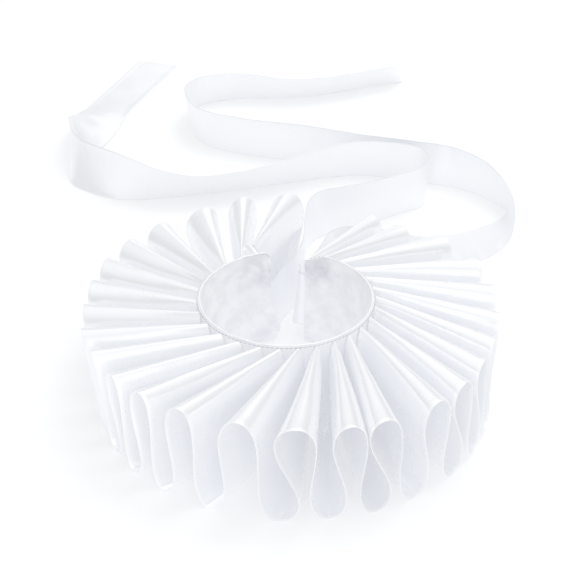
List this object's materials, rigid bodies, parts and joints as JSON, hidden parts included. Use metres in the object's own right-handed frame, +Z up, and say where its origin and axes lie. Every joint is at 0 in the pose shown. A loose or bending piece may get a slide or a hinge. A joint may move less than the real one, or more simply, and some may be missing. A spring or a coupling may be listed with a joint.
{
  "type": "ruff collar",
  "caption": "Pleated satin ruff collar with a tall open neckband and two long ribbon ties, laid flat on a table.",
  "frame": {"origin": "under the middle of the whole object's bounding box, on the table", "axes": "+Z up from the table, +Y from the ruff towards the far ends of the ties (the longest side), +X to the wearer's left side of the gap as pictured (image right)"},
  "size_m": [0.4338, 0.792, 0.0838],
  "materials": {
    "ruff_satin": "white satin, soft sheen along the folds",
    "band_satin": "white satin",
    "lining_cotton": "off-white cotton, matt",
    "rim_satin": "white satin binding",
    "tie_satin": "white satin ribbon with woven edges"
  },
  "bodies": {
    "root": {"ruff_strip": "ruff_satin", "neckband": "band_satin", "band_lining": "lining_cotton", "rim_binding": "rim_satin", "tie_left": "tie_satin", "tie_right": "tie_satin"}
  },
  "joints": []
}
